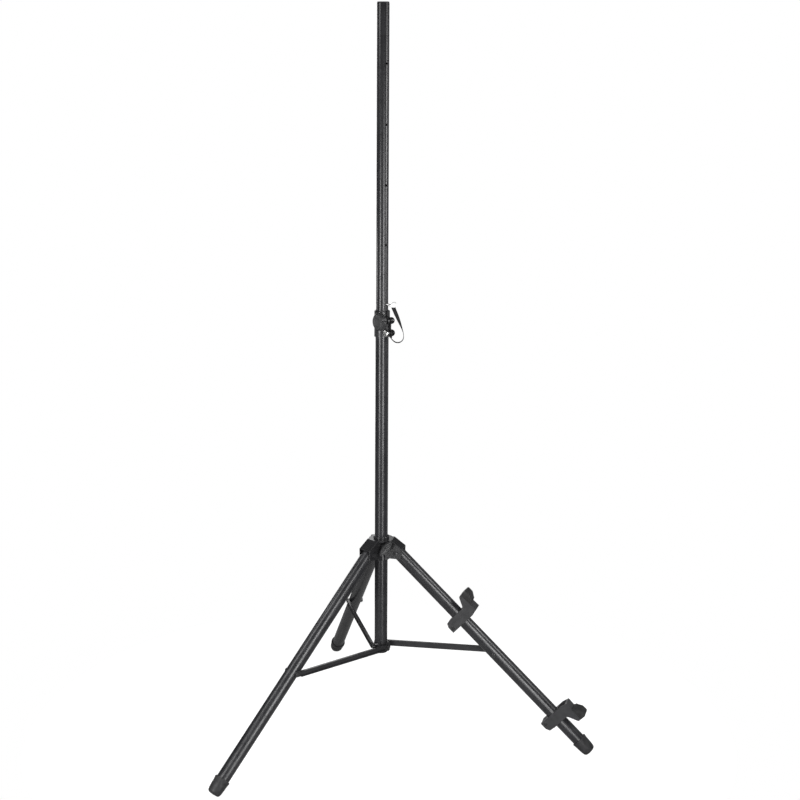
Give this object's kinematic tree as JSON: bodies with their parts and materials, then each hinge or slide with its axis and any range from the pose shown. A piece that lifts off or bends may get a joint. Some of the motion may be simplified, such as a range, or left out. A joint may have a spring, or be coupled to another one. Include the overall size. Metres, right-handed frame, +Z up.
{
  "type": "speaker stand",
  "caption": "Folding tripod stand for a loudspeaker: telescoping mast with clamp collar and safety pin, braced legs on a sliding yoke, rubber feet and cable hooks.",
  "frame": {"origin": "on the floor, under the middle of the footprint's box", "axes": "+Z up along the mast; leg a points along +X, legs b and c 120 and 240 degrees on, counter-clockwise from above"},
  "size_m": [0.9786, 1.1238, 2.148],
  "materials": {
    "tube_black": "satin black coat",
    "bracket_black": "gloss black coat",
    "brace_black": "satin black coat",
    "bolt_black": "satin",
    "bolt_steel": "satin",
    "pin_steel": "polished",
    "collar_black": "satin black coat",
    "nut_black": "gloss",
    "knob_black": "matte",
    "cap_black": "matte",
    "bushing_black": "gloss",
    "nylon": "satin",
    "hook_black": "matte",
    "pad_rubber": "matte",
    "foot_rubber": "matte",
    "webbing": "matte"
  },
  "bodies": {
    "mast_base": {"lower_tube": "tube_black", "hub": "bracket_black", "hub_core": "cap_black", "hub_bolts": "bolt_black", "clamp_collar": "collar_black", "collar_bushing": "nylon", "clamp_bolt": "bolt_steel", "collar_nuts": "nut_black", "strap_tab": "bracket_black", "tether_strap": "webbing"},
    "upper_mast": {"upper_tube": "tube_black", "top_plug": "cap_black", "guide_plug": "nylon"},
    "clamp_knob": {"clamp_knob": "knob_black", "clamp_screw": "bolt_steel"},
    "safety_pin": {"safety_pin": "pin_steel", "pin_ring": "pin_steel"},
    "yoke": {"yoke_frame": "bracket_black", "yoke_bushing": "bushing_black", "brake_pad": "nylon", "pivot_bolts": "bolt_black", "pivot_nuts": "bolt_black"},
    "yoke_knob": {"yoke_knob": "knob_black", "yoke_screw": "bolt_steel"},
    "leg_a": {"leg_tube_a": "tube_black", "leg_plug_a": "nylon", "foot_a": "foot_rubber", "brace_stud_a": "bolt_black", "stud_washers_a": "nylon", "cable_hook_upper": "hook_black", "cable_hook_lower": "hook_black", "hook_pad_upper": "pad_rubber", "hook_pad_lower": "pad_rubber", "hook_screws": "bolt_black"},
    "brace_a": {"brace_a": "brace_black", "brace_rivet_a": "bolt_black"},
    "leg_b": {"leg_tube_b": "tube_black", "leg_plug_b": "nylon", "foot_b": "foot_rubber", "brace_stud_b": "bolt_black", "stud_washers_b": "nylon"},
    "brace_b": {"brace_b": "brace_black", "brace_rivet_b": "bolt_black"},
    "leg_c": {"leg_tube_c": "tube_black", "leg_plug_c": "nylon", "foot_c": "foot_rubber", "brace_stud_c": "bolt_black", "stud_washers_c": "nylon"},
    "brace_c": {"brace_c": "brace_black", "brace_rivet_c": "bolt_black"}
  },
  "joints": [
    {"name": "mast_slide", "type": "slide", "parent": "mast_base", "child": "upper_mast", "axis": [0, 0, 1], "range_m": [-0.68, 0]},
    {"name": "clamp_knob_turn", "type": "hinge", "parent": "mast_base", "child": "clamp_knob", "pos_m": [-0.13183, -0.01884, 1.25023], "axis": [-0.6157, -0.788, 0], "range_deg": [0, 270]},
    {"name": "pin_pull", "type": "slide", "parent": "mast_base", "child": "safety_pin", "axis": [0.788, -0.6157, 0], "range_m": [0, 0.07], "deforming": ["tether_strap"]},
    {"name": "yoke_slide", "type": "slide", "parent": "mast_base", "child": "yoke", "axis": [0, 0, 1], "range_m": [0, 0.45769]},
    {"name": "yoke_knob_turn", "type": "hinge", "parent": "yoke", "child": "yoke_knob", "pos_m": [-0.13294, -0.03984, 0.57823], "axis": [0.5, -0.866, 0], "range_deg": [0, 300]},
    {"name": "leg_a_swing", "type": "hinge", "parent": "yoke", "child": "leg_a", "pos_m": [-0.10534, 0, 0.55823], "axis": [0, 1, 0], "range_deg": [0, 42.72]},
    {"name": "brace_a_swing", "type": "hinge", "parent": "mast_base", "child": "brace_a", "pos_m": [-0.16394, 0.0218, 0.26123], "axis": [0, -1, 0], "range_deg": [0, 73.29]},
    {"name": "leg_b_swing", "type": "hinge", "parent": "yoke", "child": "leg_b", "pos_m": [-0.18124, 0.04382, 0.55823], "axis": [-0.866, -0.5, 0], "range_deg": [0, 42.72]},
    {"name": "brace_b_swing", "type": "hinge", "parent": "mast_base", "child": "brace_b", "pos_m": [-0.17082, -0.01783, 0.26123], "axis": [0.866, 0.5, 0], "range_deg": [0, 73.29]},
    {"name": "leg_c_swing", "type": "hinge", "parent": "yoke", "child": "leg_c", "pos_m": [-0.18124, -0.04382, 0.55823], "axis": [0.866, -0.5, 0], "range_deg": [0, 42.72]},
    {"name": "brace_c_swing", "type": "hinge", "parent": "mast_base", "child": "brace_c", "pos_m": [-0.13306, -0.00397, 0.26123], "axis": [-0.866, 0.5, 0], "range_deg": [0, 73.29]}
  ],
  "couplings": [
    {"joint": "leg_a_swing", "follows": "yoke_slide", "rad_per_m": 1.6283},
    {"joint": "brace_a_swing", "follows": "yoke_slide", "rad_per_m": 2.7942},
    {"joint": "leg_b_swing", "follows": "yoke_slide", "rad_per_m": 1.6283},
    {"joint": "brace_b_swing", "follows": "yoke_slide", "rad_per_m": 2.7942},
    {"joint": "leg_c_swing", "follows": "yoke_slide", "rad_per_m": 1.6283},
    {"joint": "brace_c_swing", "follows": "yoke_slide", "rad_per_m": 2.7942}
  ]
}
